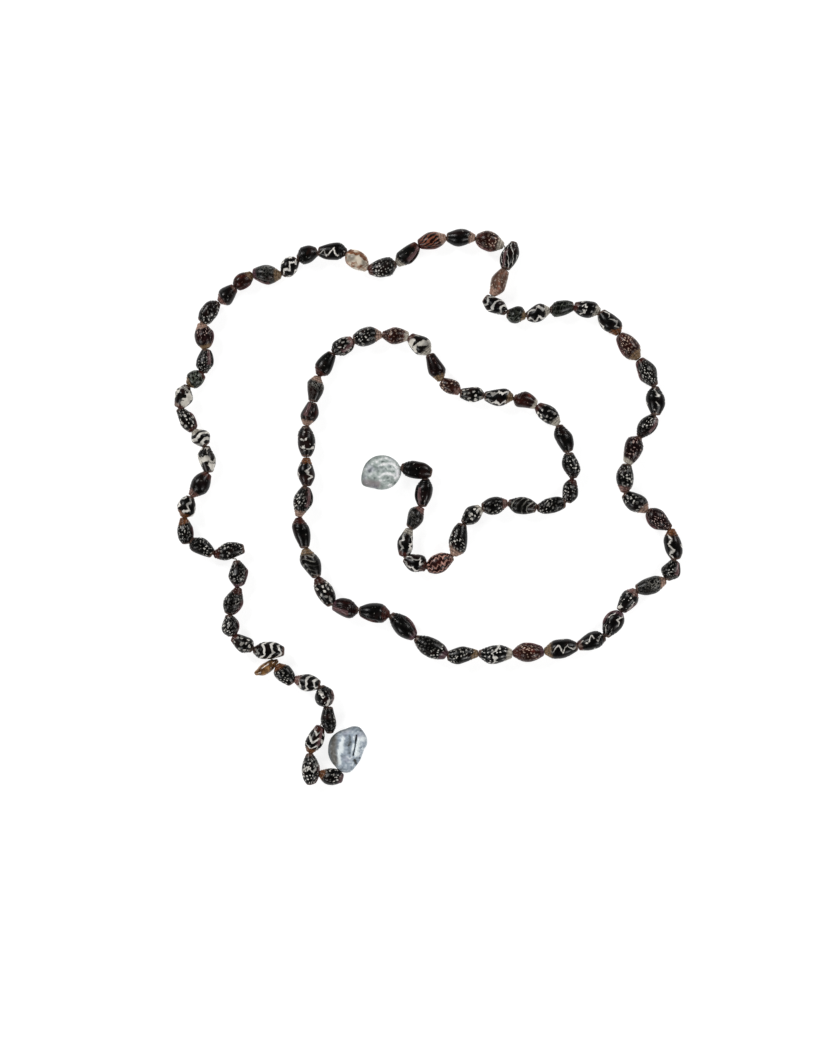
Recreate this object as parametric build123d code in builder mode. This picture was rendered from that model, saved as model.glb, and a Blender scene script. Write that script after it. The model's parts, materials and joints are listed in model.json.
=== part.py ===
"""A rope necklace of dove shells with a baroque pearl at each end, laid in a loose spiral.

Millimetres. The necklace lies on the plane z = 0 and is seen from +Z. The string starts at the
pearl in the middle of the spiral, takes two turns and ends at the larger pearl below. Every shell
is a loose solid that is drilled for the thread.
"""
from build123d import *
from math import atan2, cos, degrees, hypot, radians, sin, sqrt, tan
import os

# Lengths of the dove shells, tip to front end, by the letter that the stringing chart uses.
shell_lengths = {"a": 8.0, "b": 9.0, "c": 10.0, "d": 11.0, "e": 12.0, "f": 13.0, "g": 14.0, "h": 15.0}

# Girths across the body whorl, by the digit that the stringing chart uses.
shell_girths = {"1": 6.7, "2": 7.5, "3": 8.3}

# Form of one dove shell. Shares run along it from the blunt front end to the tip of the spire.
front_end_radius = 1.6
spire_tip_radius = 1.15
widest_share = 0.58
shoulder_share = 0.82
shoulder_girth_share = 0.68
whorl_bulge = 0.14

# The long narrow opening and the thick outer lip beside it.
opening_angle = 18.0
opening_depth = 1.1
opening_floor_share = 0.6
lip_angle = 26.0
lip_proud = 0.3

# The thread and what it runs through.
thread_diameter = 0.5
bore_diameter = 1.1
bead_clearance = 0.3
thread_bend = 0.35

# The golden-brown shell that hangs outward on the lower left, drilled across its narrow end.
side_length = 11.0
side_girth = 4.8
side_tip_radius = 0.9
side_hole_from_tip = 1.2
side_heading = -150.0
side_room = 2.3

# The two pearls: length across, thickness, and the depth that each is drilled.
inner_pearl_length = 16.8
inner_pearl_thickness = 7.0
inner_pearl_heading = 196.0
outer_pearl_length = 19.3
outer_pearl_thickness = 8.0
outer_pearl_heading = 75.0
outer_pearl_slack = 0.9
pearl_drilling = 5.0

# Outline of each pearl from above, all round from the side that faces the string.
# Columns: turn in degrees, reach as a share of half the length.
inner_pearl_outline = [
    (0, 0.99), (29, 0.90), (59, 0.87), (89, 0.84), (119, 0.85), (144, 0.93), (169, 0.98),
    (189, 1.10), (204, 1.12), (222, 0.94), (249, 0.87), (281, 0.90), (306, 0.92), (331, 0.98),
]
outer_pearl_outline = [
    (0, 0.99), (20, 0.98), (40, 0.79), (60, 0.71), (85, 0.66), (105, 0.70), (120, 0.87),
    (135, 0.96), (150, 1.01), (167, 1.09), (181, 1.03), (200, 0.88), (225, 0.87), (250, 0.88),
    (280, 0.85), (310, 0.87), (337, 0.89),
]

# Levels of a pearl. Columns: height as a share of its thickness, spread of the outline there.
pearl_levels = [(0.0, 0.52), (0.16, 0.84), (0.48, 1.0), (0.8, 0.86), (1.0, 0.5)]

# The route of the string in plan, chosen by hand: the inner turn, then the outer turn.
string_route = [
    (-8, 24.5), (3, 19.5), (1, 8), (-7, -13.5), (2.5, -18.5), (13.5, -14), (17.5, 0), (25, 7),
    (36.5, 9.5), (49, 7), (61, 9), (64.5, 19), (62.5, 30), (59, 41), (40, 53.5), (18.5, 55),
    (10, 59), (4.5, 71), (-4, 79), (-15.5, 80), (-28, 78), (-43, 62.5), (-45, 52), (-48, 42),
    (-47.5, 17), (-51, 4), (-43.5, -21.5), (-37.5, -33.5), (-26.5, -36), (-12.5, -37.5), (-2.5, -47),
    (11.5, -55), (24.5, -54), (38, -54), (66, -51), (78, -47), (90.5, -27), (103, -23.5),
    (107.5, -14.5), (105.5, -1.5), (96, 5.5), (85.5, 13.5), (87, 26), (92, 37), (99, 46), (99, 58),
    (83.5, 80), (76, 89.5), (65, 92), (55, 90.5), (45, 87.5), (36, 89), (30, 95.5), (35.5, 106.5),
    (36.5, 116), (25, 120.5), (12, 121), (0, 118.5), (-9, 110), (-21, 106.5), (-29, 114), (-41.5, 115),
    (-51, 112.5), (-57.5, 105), (-69.5, 106), (-77.5, 100), (-84, 94), (-92, 86), (-90, 75),
    (-90.5, 64), (-97.5, 59), (-101.5, 49), (-89.5, 33), (-89, 21.5), (-97, 11), (-99.5, 2),
    (-86.5, -12.5), (-77.5, -14), (-76, -26), (-80.5, -37.5), (-79, -46.5), (-70.5, -52.5),
    (-62, -56.5), (-54.5, -64), (-43, -66.5), (-38.5, -75), (-41, -83), (-46.5, -94), (-44, -103),
    (-33, -104.5),
]

# The stringing chart, ten shells to a row, from the inner pearl outward. Each shell has a length
# letter, a girth digit, < or > for a spire that points back or on, and the side that its opening
# faces: u up, l and r to the left and right of the string, d down. "side" is the side shell.
stringing_chart = """
    f2<d e2<r c2<d e1<d c3>d e3>d g3<d c2<d d2>d e2<d
    e1<d c2>d d2<d e2>d e2<d c2>d e2<d c1<d b1<d e2<d
    d3<d d2>d e3<d c2>l d2>d d2<d c2>u f2<d e2<d f3>l
    f2<d f3<d f2<d d3>u f3>r g3<l h3<d f2>d g3<d f3<l
    g3<d e2>d e3<l d2>r f2>d b3<r f2>d e3<l e3<d e2<d
    e3>d d2<r e3>d f3<l f3<l e3<d d2<d c1>d c2<d a2<d
    d2<d e2<d e2>l e3<l e2<d e2<l e2>l e3<d d3<d e2<d
    b2>d b2>d e3<l b1<l b2>d d2<d d3<l c2>l a2>d c3<d
    d1<l a3<d d2<d e3>d b3>d d1<l d2<d f2<d d3<l e3<l
    b2<l c2>d f2<d side c2<d d2<d b3<l d1>d e2>l f2<l c2<d
"""

# Shells whose end sticks out, because the thread leaves through the flank before it.
# Columns: place in the chart, how far the end sticks out, side that the thread leaves on.
left, right = 1, -1
stuck_out = {
    1: (2.0, right), 61: (2.0, right), 63: (3.0, left), 86: (1.8, left), 88: (4.8, right),
    93: (5.2, right), 95: (1.6, left), 98: (4.2, right), 100: (4.6, left), 101: (1.6, left),
}

# Slack thread after a bead where the string turns sharply. Columns: place in the chart, slack.
slack_after = {4: 0.2, 11: 0.15, 86: 0.1, 87: 0.15, 88: 0.7, 93: 0.5, 95: 0.4, 98: 0.8, 101: 0.3}

inner_turn_count = 45
opening_turns = {"u": 0.0, "l": 60.0, "r": -60.0, "d": 180.0}


def flank_radius(length, girth, along):
    """Radius of a shell at a distance along it from the front end, without the lip."""
    widest = length * widest_share
    if along < front_end_radius:
        return sqrt(max(front_end_radius ** 2 - (front_end_radius - along) ** 2, 0))
    if along < widest:
        end_along, end_radius = front_end_radius, front_end_radius
    else:
        end_along, end_radius = length * shoulder_share, girth / 2 * shoulder_girth_share
    drop = girth / 2 - end_radius
    arc = ((widest - end_along) ** 2 + drop ** 2) / (2 * drop)
    return girth / 2 - arc + sqrt(max(arc ** 2 - (along - widest) ** 2, 0))


def radial_plane(turn):
    """The half plane through the X axis at a turn from +Z towards -Y, with the radius as its y."""
    return Plane(origin=(0, 0, 0), x_dir=(1, 0, 0), z_dir=(0, -cos(radians(turn)), -sin(radians(turn))))


def dove_shell(length, girth, tip_radius=spire_tip_radius):
    """One undrilled shell along +X: front end at the origin, spire at its length, opening up."""
    half = girth / 2
    widest = (length * widest_share, half)
    front = (front_end_radius, front_end_radius)
    shoulder = (length * shoulder_share, half * shoulder_girth_share)
    tip = (length - tip_radius, tip_radius)
    suture = ((shoulder[0] + tip[0]) / 2, (shoulder[1] + tip[1]) / 2)
    with BuildPart() as shell:
        with BuildSketch(radial_plane(0)):
            with BuildLine():
                RadiusArc((0, 0), front, front_end_radius)
                TangentArc(widest, front, tangent=(-1, 0))
                TangentArc(widest, shoulder, tangent=(1, 0))
                SagittaArc(shoulder, suture, whorl_bulge)
                SagittaArc(suture, tip, whorl_bulge)
                RadiusArc(tip, (length, 0), tip_radius)
                Line((length, 0), (0, 0))
            make_face()
        revolve(axis=Axis.X)
        with BuildSketch(radial_plane(0)):
            with BuildLine():
                TangentArc((widest[0], half + lip_proud), front, tangent=(-1, 0))
                Line(front, (front[0], front[1] / 2))
                Line((front[0], front[1] / 2), (shoulder[0], front[1] / 2))
                Line((shoulder[0], front[1] / 2), shoulder)
                Line(shoulder, (widest[0], half + lip_proud))
            make_face()
        revolve(axis=Axis.X, revolution_arc=opening_angle / 2 + lip_angle)
        with BuildSketch(radial_plane(-opening_angle / 2)):
            Polygon(
                (-front_end_radius, front_end_radius * opening_floor_share),
                (widest[0], half - opening_depth),
                ((widest[0] + shoulder[0]) / 2, girth),
                (-front_end_radius, girth),
                align=None,
            )
        revolve(axis=Axis.X, revolution_arc=opening_angle, mode=Mode.SUBTRACT)
    return shell.part


bench = {}


def turned_shell(length, girth, turn):
    """A shell turned about its own axis, and how high that axis lies when the shell rests."""
    if (length, girth) not in bench:
        bench[length, girth] = dove_shell(length, girth)
    if (length, girth, turn) not in bench:
        turned = Rot(turn, 0, 0) * bench[length, girth]
        bench[length, girth, turn] = (turned, -turned.bounding_box().min.Z)
    return bench[length, girth, turn]


with BuildLine() as route:
    Spline(*string_route)
string_line = route.edge()


def route_point(distance):
    """A point of the route in plan, carried straight on past its last point."""
    if distance <= string_line.length:
        return string_line.position_at(distance, position_mode=PositionMode.LENGTH)
    return string_line @ 1 + (string_line % 1) * (distance - string_line.length)


def step_along(start, distance, pitch):
    """The route distance of the point that lies one pitch, as the crow flies, from a start point."""
    reached = distance + pitch
    for _ in range(12):
        reached += pitch - (route_point(reached) - start).length
    return reached


def spread_at_bend(heading, next_heading):
    """Extra room that two rounded bead ends need where the string bends between them."""
    bend = abs((next_heading - heading + 180) % 360 - 180)
    return (front_end_radius + bead_clearance / 2) * (1 / cos(radians(bend) / 2) - 1)


def heading_of(vector):
    """Direction of a plan vector in degrees."""
    return degrees(atan2(vector.Y, vector.X))


def lay_string():
    """Walks along the route and gives each bead its joints, heading and free end."""
    beads = []
    joint, distance = route_point(0), 0.0
    heading = heading_of(route_point(bead_clearance) - joint)
    for place, token in enumerate(stringing_chart.split(), 1):
        if token == "side":
            length, lean, chord = 0.0, 0.0, side_room
        else:
            length = shell_lengths[token[0]]
            girth = shell_girths[token[1]]
            out, side = stuck_out.get(place, (0.0, right))
            along = length - out
            from_front = along if token[2] == ">" else length - along
            aside = flank_radius(length, girth, from_front) if out else 0.0
            lean, chord = side * degrees(atan2(aside, along)), hypot(along, aside)
        slack = slack_after.get(place, 0.0)
        spread = 0.0
        for _ in range(4):
            reached = step_along(joint, distance, chord + bead_clearance + spread + slack)
            next_heading = heading_of(route_point(reached) - joint)
            spread = spread_at_bend(heading, next_heading)
        beads.append({
            "token": token, "start": joint, "end": route_point(reached), "length": length,
            "heading": next_heading, "lean": lean, "inset": bead_clearance / 2 + spread,
        })
        joint, distance, heading = route_point(reached), reached, next_heading
    return beads


def bead_height(bead):
    """How high a resting bead's axis lies."""
    if bead["token"] == "side":
        return side_girth / 2 + lip_proud
    letter, digit, _, opening = bead["token"]
    return turned_shell(shell_lengths[letter], shell_girths[digit], opening_turns[opening])[1]


def lift(point, height):
    """A plan point at a height."""
    return Vector(point.X, point.Y, height)


def direction(heading):
    """Unit vector in plan."""
    return Vector(cos(radians(heading)), sin(radians(heading)), 0)


def drill(start, end):
    """Bores the thread hole on a line, a little past both its ends."""
    run = (end - start).normalized()
    reach = (end - start).length + 2 * bore_diameter
    with Locations(Plane(origin=(start + end) * 0.5, z_dir=run)):
        Cylinder(bore_diameter / 2, reach, mode=Mode.SUBTRACT)


def strung_shell(bead, thread_start, thread_end):
    """One drilled shell at its place on the string."""
    letter, digit, points, opening = bead["token"]
    back = points == "<"
    turn = opening_turns[opening] * (1 if back else -1)
    solid, height = turned_shell(shell_lengths[letter], shell_girths[digit], turn)
    plan = bead["start"] + direction(bead["heading"]) * bead["inset"]
    axis = direction(bead["heading"] - bead["lean"])
    origin = lift(plan + axis * bead["length"] if back else plan, height)
    place = Plane(origin=origin, x_dir=-axis if back else axis, z_dir=(0, 0, 1)).location
    with BuildPart() as shell:
        add(place * solid)
        drill(thread_start, thread_end)
    return shell.part.solid()


def pearl(outline, length, thickness, drilled_from, heading, slack=0.0):
    """A baroque pearl lofted through its levels and half drilled towards the string."""
    half = length / 2
    reach = half * outline[0][1]
    centre = drilled_from + direction(heading) * (reach + bead_clearance + slack)
    with BuildPart() as body:
        for height_share, spread in pearl_levels:
            level = Plane(origin=lift(centre, thickness * height_share), x_dir=direction(heading) * -1)
            points = [
                Vector(half * share * spread, 0, 0).rotate(Axis.Z, turn) for turn, share in outline
            ]
            with BuildSketch(level):
                with BuildLine():
                    Spline(*points, periodic=True)
                make_face()
        loft()
        hole_end = lift(centre - direction(heading) * (reach - pearl_drilling), thickness / 2)
        drill(lift(drilled_from, thickness / 2), hole_end)
    return body, hole_end


beads = lay_string()
heights = [bead_height(bead) for bead in beads]
joint_heights = (
    [inner_pearl_thickness / 2]
    + [(low + high) / 2 for low, high in zip(heights, heights[1:])]
    + [outer_pearl_thickness / 2]
)
joints = [lift(bead["start"], height) for bead, height in zip(beads, joint_heights)]
joints.append(lift(beads[-1]["end"], joint_heights[-1]))

strung = []
for number, bead in enumerate(beads):
    if bead["token"] != "side":
        strung.append(strung_shell(bead, joints[number], joints[number + 1]))

inner_body, inner_end = pearl(
    inner_pearl_outline, inner_pearl_length, inner_pearl_thickness,
    beads[0]["start"], inner_pearl_heading,
)
outer_body, outer_end = pearl(
    outer_pearl_outline, outer_pearl_length, outer_pearl_thickness,
    beads[-1]["end"], outer_pearl_heading, outer_pearl_slack,
)

with BuildPart() as shells_inner_turn:
    add(strung[:inner_turn_count])

with BuildPart() as shells_outer_turn:
    add(strung[inner_turn_count:])

side_bead = next(bead for bead in beads if bead["token"] == "side")
side_number = beads.index(side_bead)
side_middle = lift((side_bead["start"] + side_bead["end"]) * 0.5, heights[side_number])
with BuildPart() as side_shell:
    outward = direction(side_heading)
    tip = side_middle - outward * side_hole_from_tip
    place = Plane(origin=tip + outward * side_length, x_dir=outward * -1, z_dir=(0, 0, 1)).location
    add(place * Rot(180, 0, 0) * dove_shell(side_length, side_girth, side_tip_radius))
    drill(joints[side_number], joints[side_number + 1])

thread_points = [inner_end, *joints, outer_end]
bends = []
for before, corner, after in zip(thread_points, thread_points[1:], thread_points[2:]):
    turn = (corner - before).get_angle(after - corner)
    bends.append(thread_bend / tan(radians(turn) / 2))
with BuildPart() as thread:
    with BuildLine() as run:
        FilletPolyline(*thread_points, radius=bends)
    with BuildSketch(Plane(origin=run.line @ 0, z_dir=run.line % 0)):
        Circle(thread_diameter / 2)
    sweep(path=run.wire())

pieces = {
    "shells_inner_turn": shells_inner_turn,
    "shells_outer_turn": shells_outer_turn,
    "side_shell": side_shell,
    "thread": thread,
    "inner_pearl": inner_body,
    "outer_pearl": outer_body,
}
box = Compound([piece.part for piece in pieces.values()]).bounding_box()
middle = Vector((box.min.X + box.max.X) / 2, (box.min.Y + box.max.Y) / 2, 0)

os.makedirs("parts", exist_ok=True)
for name, piece in pieces.items():
    finished = piece.part.moved(Location(-middle))
    finished.label = name
    export_step(finished, f"parts/{name}.step")
    print(name, "solids", len(finished.solids()), "volume", round(finished.volume, 1))
print("thread length", round(run.wire().length, 1))
print("origin lies at", round(middle.X, 2), round(middle.Y, 2), "of the route's own coordinates")
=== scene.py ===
# %% [markdown]
# # A shell necklace
# One long open string of small polished dove shells lies in two loose turns on a table, with a
# baroque pearl at each end and one slim golden shell that hangs outward at the lower left. The
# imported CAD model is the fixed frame: it says where every shell lies. We read each place from it
# and build a finer shell there, because a hand-laid string looks right only if each shell keeps
# its own length, girth, direction and turn.

# %% Load the frame
import bmesh
import bpy
import json
import numpy as np
import random
from math import atan2, cos, exp, hypot, pi, radians, sin
from mathutils import Matrix, Vector, noise

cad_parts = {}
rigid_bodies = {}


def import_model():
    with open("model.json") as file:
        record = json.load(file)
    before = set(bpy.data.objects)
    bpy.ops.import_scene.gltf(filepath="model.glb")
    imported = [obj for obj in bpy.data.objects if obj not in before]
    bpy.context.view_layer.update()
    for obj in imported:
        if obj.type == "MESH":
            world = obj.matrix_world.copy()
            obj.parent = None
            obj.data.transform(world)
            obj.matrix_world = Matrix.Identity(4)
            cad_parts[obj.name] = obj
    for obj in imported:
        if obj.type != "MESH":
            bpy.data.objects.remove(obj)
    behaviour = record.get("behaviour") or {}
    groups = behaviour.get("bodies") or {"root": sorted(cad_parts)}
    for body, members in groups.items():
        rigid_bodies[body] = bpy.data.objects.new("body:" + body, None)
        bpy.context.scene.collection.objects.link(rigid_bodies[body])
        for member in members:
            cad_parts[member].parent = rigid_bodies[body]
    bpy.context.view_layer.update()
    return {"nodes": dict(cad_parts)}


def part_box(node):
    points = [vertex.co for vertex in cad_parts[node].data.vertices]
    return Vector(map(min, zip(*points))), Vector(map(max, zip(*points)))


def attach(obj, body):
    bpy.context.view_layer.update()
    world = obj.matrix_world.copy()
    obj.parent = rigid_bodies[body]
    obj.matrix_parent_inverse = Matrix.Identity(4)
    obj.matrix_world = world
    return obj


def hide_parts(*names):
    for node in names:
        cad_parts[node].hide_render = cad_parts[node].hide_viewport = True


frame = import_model()
mm = 0.001
print("nodes:", sorted(frame["nodes"]))

# %% [markdown]
# ## Finding the shells
# A node of the frame holds dozens of loose shells as one mesh of triangles. We work on a merged
# copy, follow its edges from vertex to vertex, and so split it into its separate shells. The
# frame's own mesh is never touched.


# %% Split a node into its loose shells
merge_distance = 0.002 * mm


def loose_shells(node):
    """Corner points of the triangles of each loose shell, as arrays of shape (n, 3, 3) in mm."""
    copy = bmesh.new()
    copy.from_mesh(frame["nodes"][node].data)
    bmesh.ops.remove_doubles(copy, verts=copy.verts[:], dist=merge_distance)
    copy.verts.index_update()
    copy.faces.ensure_lookup_table()
    family = [-1] * len(copy.verts)
    count = 0
    for vertex in copy.verts:
        if family[vertex.index] >= 0:
            continue
        waiting = [vertex]
        family[vertex.index] = count
        while waiting:
            for edge in waiting.pop().link_edges:
                for other in edge.verts:
                    if family[other.index] < 0:
                        family[other.index] = count
                        waiting.append(other)
        count += 1
    corners = np.array([[v.co[:] for v in face.verts] for face in copy.faces if len(face.verts) == 3])
    owner = np.array([family[f.verts[0].index] for f in copy.faces if len(f.verts) == 3])
    copy.free()
    return [corners[owner == number] / mm for number in range(count)]


found = {node: loose_shells(node) for node in ("shells_inner_turn", "shells_outer_turn", "side_shell")}
print("loose shells:", {node: len(shells) for node, shells in found.items()})

# %% [markdown]
# ## Reading how each shell lies
# A shell is a turned shape, so every line that leaves its surface at a right angle comes from its
# axis. We turn a level line round in small steps, and the direction for which those surface lines
# miss the axis by least is the shell's own direction. The widest place lies nearer the spire,
# which tells the two ends apart, and the thick lip stands proud, which tells how it is rolled.

# %% Measure one shell
lip_proud = 0.3
lip_turn = radians(22)
miss_limit = 0.4
smallest_area = 1e-6
coarse_step, fine_steps = 6, (1.5, 0.3)
widest_band, proud_band = 0.05, 0.1


def axis_fit(middles, normals, areas, turn):
    """How badly a level axis at this turn suits the surface, with its side place and its height.

    The flat walls of the opening and the bore don't point away from the axis, so they are left
    out of the second and third round.
    """
    side = np.array([-sin(turn), cos(turn), 0.0])
    across, normal_across = middles @ side, normals @ side
    rows = np.stack([normals[:, 2], -normal_across], axis=1)
    target = normals[:, 2] * across - normal_across * middles[:, 2]
    trust = areas
    for _ in range(3):
        root = np.sqrt(trust)
        answer = np.linalg.lstsq(rows * root[:, None], target * root, rcond=None)[0]
        miss = np.abs(rows @ answer - target)
        trust = areas * (miss < miss_limit)
    return float((np.minimum(miss, miss_limit) ** 2 * areas).sum()), answer


def best_turn(middles, normals, areas, turns):
    """The turn in degrees, out of some, for which the axis suits the surface best."""
    return min((axis_fit(middles, normals, areas, radians(d))[0], d) for d in turns)[1]


def measure_shell(corners):
    """Where a shell lies: front end, direction to the spire, length, girth and turn of its opening."""
    crosses = np.cross(corners[:, 1] - corners[:, 0], corners[:, 2] - corners[:, 0])
    areas = np.linalg.norm(crosses, axis=1)
    keep = areas > smallest_area
    middles, normals = corners[keep].mean(axis=1), crosses[keep] / areas[keep, None]
    areas = areas[keep]
    best = best_turn(middles, normals, areas, range(0, 180, coarse_step))
    for step in fine_steps:
        best = best_turn(middles, normals, areas, [best + step * k for k in range(-4, 5)])
    turn = radians(best)
    place = axis_fit(middles, normals, areas, turn)[1]
    along, side = np.array([cos(turn), sin(turn), 0.0]), np.array([-sin(turn), cos(turn), 0.0])
    points = corners.reshape(-1, 3)
    reach, across, height = points @ along, points @ side - place[0], points[:, 2] - place[1]
    radius = np.hypot(across, height)
    low, high = reach.min(), reach.max()
    widest = reach[radius > radius.max() - widest_band].mean()
    if widest < (low + high) / 2:
        along, side, across, low, high, reach = -along, -side, -across, -high, -low, -reach
        place = (-place[0], place[1])
    proud = radius > radius.max() - proud_band
    lip = atan2(-across[proud].mean(), height[proud].mean())
    front = Vector(along * low + side * place[0]) + Vector((0, 0, place[1]))
    return {
        "front": front, "along": Vector(along), "length": float(high - low),
        "girth": float(2 * (radius.max() - lip_proud)), "turn": lip - lip_turn,
    }


measured = {node: [measure_shell(corners) for corners in shells] for node, shells in found.items()}
side_shell = measured.pop("side_shell")[0]
print("side shell's length:", round(side_shell["length"], 2), "mm")

# %% [markdown]
# ## Putting the shells in order
# The mesh gives the shells in no order, but the string has one. We start at the pearl in the
# middle of the spiral and always step to the shell whose nearer end is next.


# %% Walk along the string
def ends_of(shell):
    """The front end and the spire's tip of a shell, in plan."""
    tip = shell["front"] + shell["along"] * shell["length"]
    return shell["front"].xy, tip.xy


def middle_of(node):
    """The middle of a node's box in plan, in millimetres."""
    low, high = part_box(node)
    return ((low + high) / 2 / mm).xy


waiting = [dict(shell, node=node) for node, shells in measured.items() for shell in shells]
string = []
here = middle_of("inner_pearl")
while waiting:
    shell = min(waiting, key=lambda one: min((end - here).length for end in ends_of(one)))
    waiting.remove(shell)
    front, tip = ends_of(shell)
    here = front if (tip - here).length < (front - here).length else tip
    string.append(shell)
inner_count = [shell["node"] for shell in string].count("shells_inner_turn")
print("shells on the string:", len(string), "inner turn:", inner_count)

# %% [markdown]
# ## The form of a dove shell
# A dove shell is a blunt spindle: a narrow front end with a notch, a swollen body whorl, a crisp
# shoulder, and a short spire of flat whorls. A long narrow opening with a thick toothed lip runs
# along one side. It could be sculpted freely, but the body is a turned form at heart, so we spin a
# profile of two swollen cones and then move its vertices: whorls along a helix, the opening pressed
# in, the lip raised and the notch cut. A Subdivision Surface modifier rounds it off.

# %% Soft steps and bells
def smooth(low, high, value):
    """Rises smoothly from 0 at low to 1 at high."""
    share = min(max((value - low) / (high - low), 0.0), 1.0)
    return share * share * (3 - 2 * share)


def hump(value, width):
    """A bell of height 1 at zero."""
    return exp(-(value / width) ** 2)


print("a bell one width from its middle:", round(hump(1, 1), 2))

# %% The profile of one shell
# Depth and radius of the rounded cap at the front end, and of the one at the spire.
shell_caps = ((0.85, 2.1), (0.75, 1.65))
cap_steps = (0.1, 0.35, 0.68)
cap_squareness = 2.6
bore_radius, bore_depth = 0.42, 0.9
rim_inset, rim_width = 0.02, 0.06
spire_start = 0.76
end_growth = 0.27
flank_stations = (0.1, 0.15, 0.21, 0.28, 0.35, 0.42, 0.48, 0.54, 0.6, 0.65, 0.7, 0.735)
spire_stations = (0.765, 0.787, 0.809, 0.831, 0.853, 0.875, 0.897, 0.922)
columns = 24


def eased(distance, roundness):
    """A distance whose start is rounded off, so that two slopes meet in a soft corner."""
    return (distance ** 2 + roundness ** 2) ** 0.5 - roundness


def flank_radius(along, length, half, caps, build):
    """Radius at a place between the caps: two swollen cones that meet at the widest place."""
    (front_depth, front_radius), (spire_depth, spire_radius) = caps
    widest, roundness = build["widest"] * length, build["roundness"] * length
    if along < widest:
        share = eased(widest - along, roundness) / eased(widest - front_depth, roundness)
        return half - (half - front_radius) * share ** build["front_swell"]
    share = eased(along - widest, roundness) / eased(length - spire_depth - widest, roundness)
    return half - (half - spire_radius) * share ** build["spire_swell"]


def shell_profile(length, half, caps, build):
    """Points of the profile from the drilled hole of the front end to that of the spire."""
    front_cap, spire_cap = caps
    front = [(bore_depth, 0.0), (bore_depth, bore_radius), (rim_inset, bore_radius + rim_width)]
    spire = [(length - along, radius) for along, radius in front]
    for step in cap_steps:
        rise = (1 - (1 - step) ** cap_squareness) ** (1 / cap_squareness)
        front.append((front_cap[0] * step, front_cap[1] * rise))
        spire.append((length - spire_cap[0] * step, spire_cap[1] * rise))
    stations = [share * length for share in flank_stations + spire_stations]
    kept = [a for a in stations if front_cap[0] < a < length - spire_cap[0]]
    flank = [(a, flank_radius(a, length, half, caps, build)) for a in kept]
    return front + flank + spire[::-1]


def build_of(number):
    """The small differences in form of one shell, from its place on the string."""
    luck = random.Random(number * 7 + 3)
    return {
        "widest": luck.uniform(0.45, 0.66), "roundness": luck.choice((0.01, 0.03, 0.08, 0.16)),
        "front_swell": luck.choice((1.25, 1.55, 1.9, 2.3)), "spire_swell": luck.choice((1.2, 1.5, 1.9)),
        "pitch": luck.uniform(0.072, 0.088), "suture": luck.uniform(0.07, 0.11),
        "bow": luck.uniform(-0.42, 0.42), "slope": luck.uniform(0.03, 0.11),
        "corner": luck.uniform(0.0, 0.045), "corner_turn": luck.uniform(0, 2 * pi),
    }


print("profile points of one shell:", len(shell_profile(12.0, 3.75, shell_caps, build_of(1))))

# %% Spin the profile
def spun_shell(length, half, caps, build):
    """The turned body of a shell as a bmesh, in millimetres along +X."""
    form = bmesh.new()
    profile = shell_profile(length, half, caps, build)
    points = [form.verts.new((along, 0.0, radius)) for along, radius in profile]
    edges = [form.edges.new(pair) for pair in zip(points, points[1:])]
    bmesh.ops.spin(
        form, geom=points + edges, axis=(1, 0, 0), cent=(0, 0, 0), dvec=(0, 0, 0),
        angle=2 * pi, steps=columns, use_merge=True, use_duplicate=False,
    )
    bmesh.ops.remove_doubles(form, verts=form.verts[:], dist=0.001)
    bmesh.ops.recalc_face_normals(form, faces=form.faces[:])
    return form


trial = spun_shell(12.0, 3.75, shell_caps, build_of(1))
print("faces of one turned body:", len(trial.faces))
trial.free()

# %% Sculpt whorls, opening, lip and notch
turn_skew = 0.45
groove_width, suture_width, whorl_swell = 0.17, 0.13, 0.03
opening_depth, opening_width = 1.2, radians(6)
opening_start, opening_top = (-0.02, 0.06), 0.66
lip_width = radians(17)
tooth_pitch, tooth_rise, tooth_turn, tooth_width = 0.95, 0.06, radians(10), radians(7)
notch_depth, notch_reach, notch_width = 0.6, 0.1, radians(38)
wander_scale, wander_share = (0.28, 0.8, 3.7), 0.06


def skewed(turn):
    """A turn moved towards the opening, so that most columns of the mesh lie where the detail is."""
    return turn - turn_skew * sin(turn)


def opened_at(share):
    """How much of the long opening there is at a place along the shell."""
    return smooth(*opening_start, share) * (1 - smooth(opening_top - 0.08, opening_top, share))


def lip_height(share, turn):
    """How much of the thick lip lies at a place of the shell."""
    return opened_at(share) * hump(turn - lip_turn, lip_width)


def sculpt_shell(form, length, build, seed):
    """Moves the vertices of a turned body to the form of a grown shell."""
    suture = form.verts.layers.float.new("suture")
    for vertex in form.verts:
        along, y, z = vertex.co
        radius, turn = hypot(y, z), skewed(atan2(-y, z))
        share = along / length
        mid_share = sin(pi * min(max(share, 0.0), 1.0))
        on_spire = smooth(spire_start - 0.06, spire_start + 0.01, share)
        within = ((share - spire_start) / build["pitch"] + turn / (2 * pi)) % 1
        from_suture = min(within, 1 - within)
        # Where painted shade darkens the suture grooves.
        vertex[suture] = on_spire * hump(from_suture, suture_width)
        groove = build["suture"] * on_spire * hump(from_suture, groove_width)
        radius *= 1 - groove + whorl_swell * on_spire * sin(pi * within)
        opened = opened_at(share) * smooth(0.55, 1.0, radius)
        radius *= 1 + build["corner"] * cos(3 * turn + build["corner_turn"])
        radius -= min(opening_depth, radius * 0.5) * opened * hump(turn, opening_width)
        tooth = tooth_rise * sin(2 * pi * along / tooth_pitch)
        radius += tooth * opened * hump(turn - tooth_turn, tooth_width)
        radius += lip_proud * lip_height(share, turn) * smooth(0.0, 1.2, radius)
        notch = (1 - smooth(0.0, notch_reach, share)) * hump(turn, notch_width)
        along += notch_depth * notch * smooth(0.0, 1.0, radius)
        along += build["slope"] * length * sin(turn) * mid_share
        place = [c * scale for c, scale in zip((along, turn, seed), wander_scale)]
        radius *= 1 + wander_share * noise.noise(Vector(place))
        bow = build["bow"] * mid_share
        vertex.co = (along, -radius * sin(turn) + bow, radius * cos(turn))


print("lip at mid-length:", round(lip_height(0.5, lip_turn), 2))

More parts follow.
